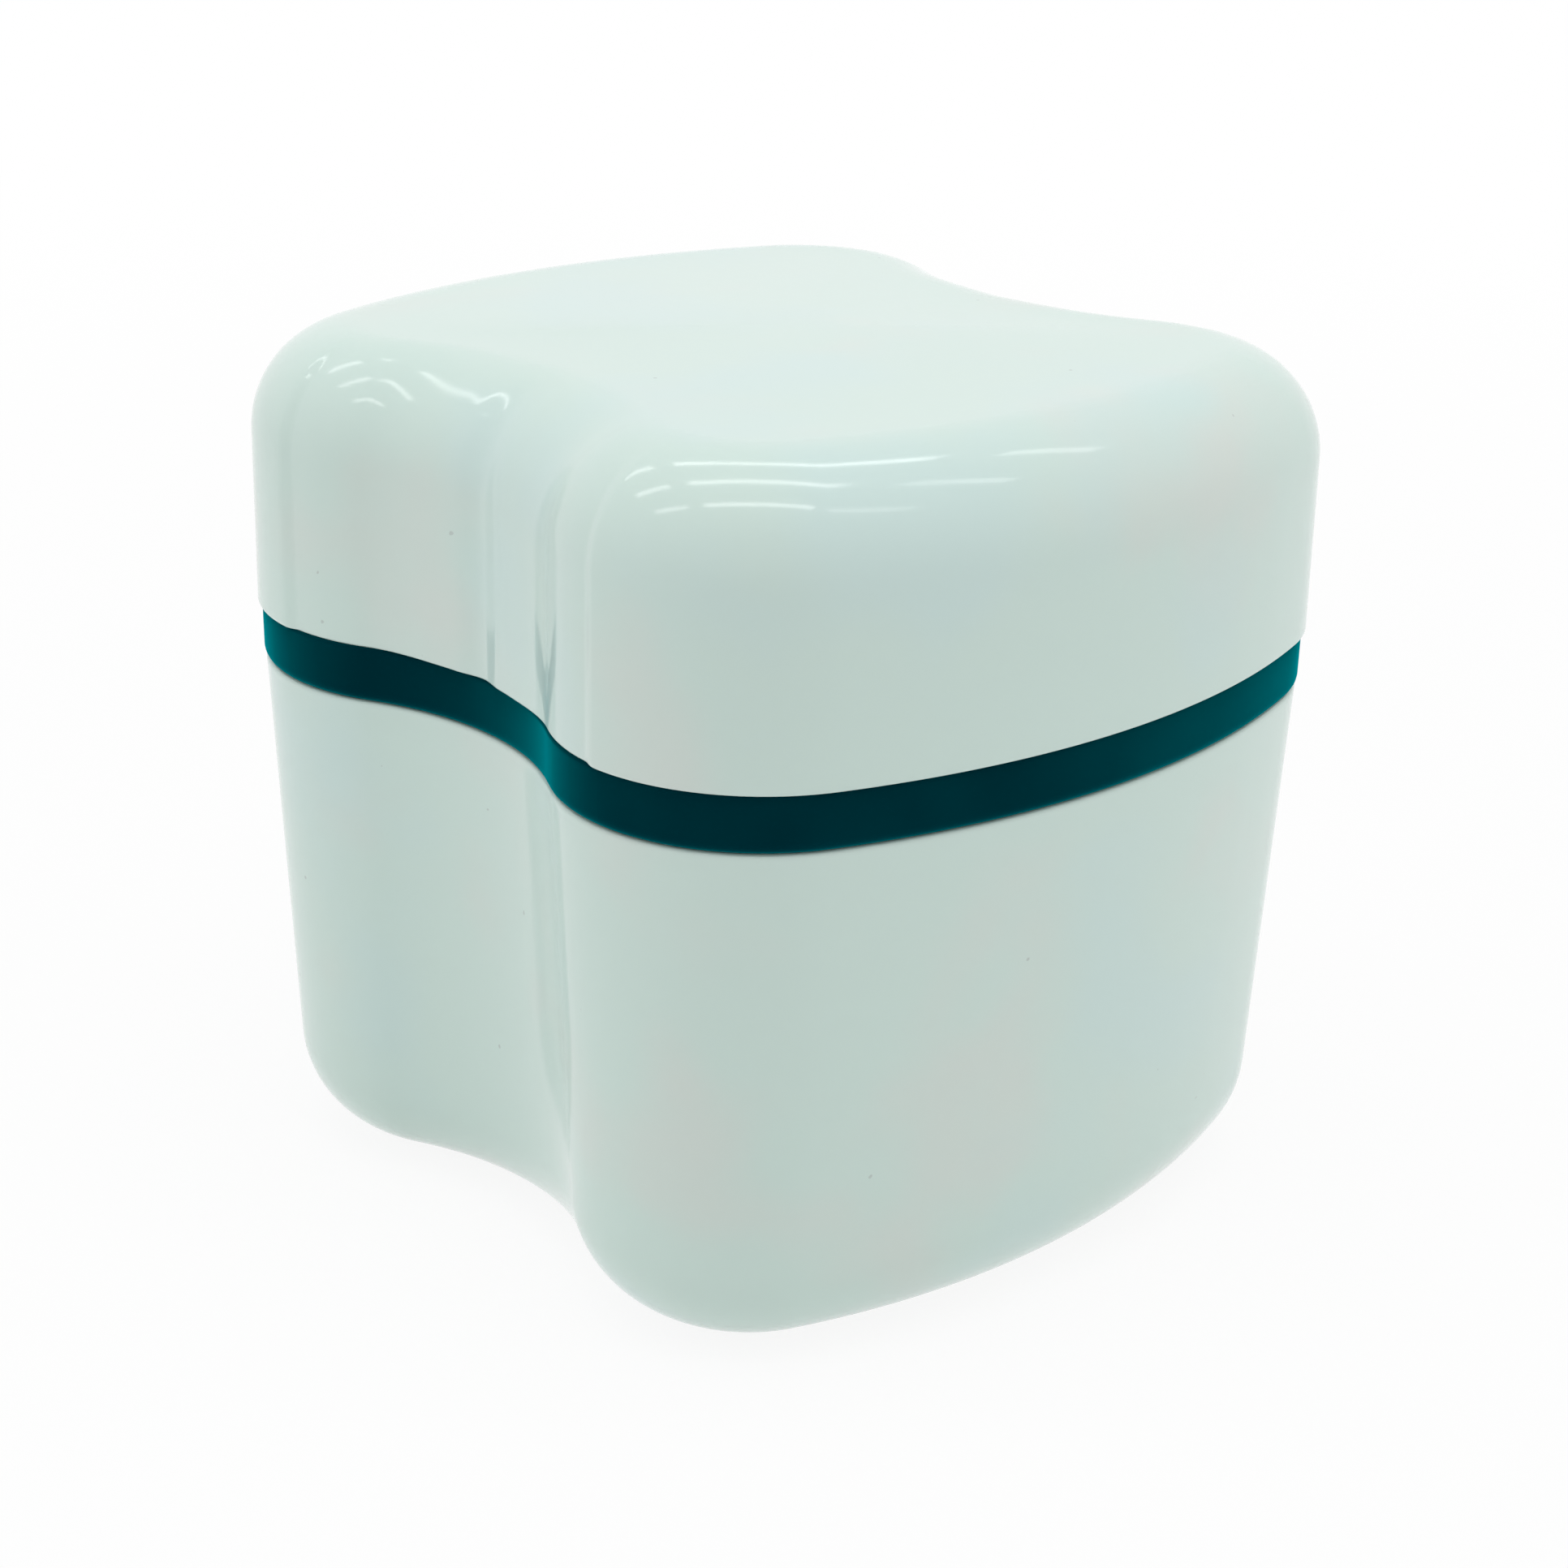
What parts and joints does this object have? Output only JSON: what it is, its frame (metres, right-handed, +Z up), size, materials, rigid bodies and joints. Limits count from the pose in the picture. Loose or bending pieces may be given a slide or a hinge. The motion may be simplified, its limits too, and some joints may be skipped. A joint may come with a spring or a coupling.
{
  "type": "denture case",
  "caption": "Denture soaking case: waisted tub, lift-out strainer basket with a folding bail, and a lift-off domed lid.",
  "frame": {"origin": "centre of the base, on the surface that the case stands on", "axes": "+Z up, the convex front face looks along -Y, the concave waists look along +X and -X"},
  "size_m": [0.0828, 0.09, 0.0837],
  "materials": {
    "white_plastic": "glossy moulded plastic, white with a slight cool green tint",
    "teal_plastic": "glossy moulded plastic, dark teal, slightly translucent at thin edges"
  },
  "bodies": {
    "tub": {"tub": "white_plastic"},
    "basket": {"strainer_basket": "teal_plastic"},
    "handle": {"basket_handle": "teal_plastic"},
    "lid": {"lid": "white_plastic"}
  },
  "joints": [
    {"name": "basket_lift", "type": "slide", "parent": "tub", "child": "basket", "axis": [0, 0, 1], "range_m": [0, 0.06]},
    {"name": "lid_lift", "type": "slide", "parent": "basket", "child": "lid", "axis": [0, 0, 1], "range_m": [0, 0.05]},
    {"name": "handle_swing", "type": "hinge", "parent": "basket", "child": "handle", "pos_m": [0, 0, 0.05395], "axis": [-1, 0, 0], "range_deg": [0, 180]}
  ]
}
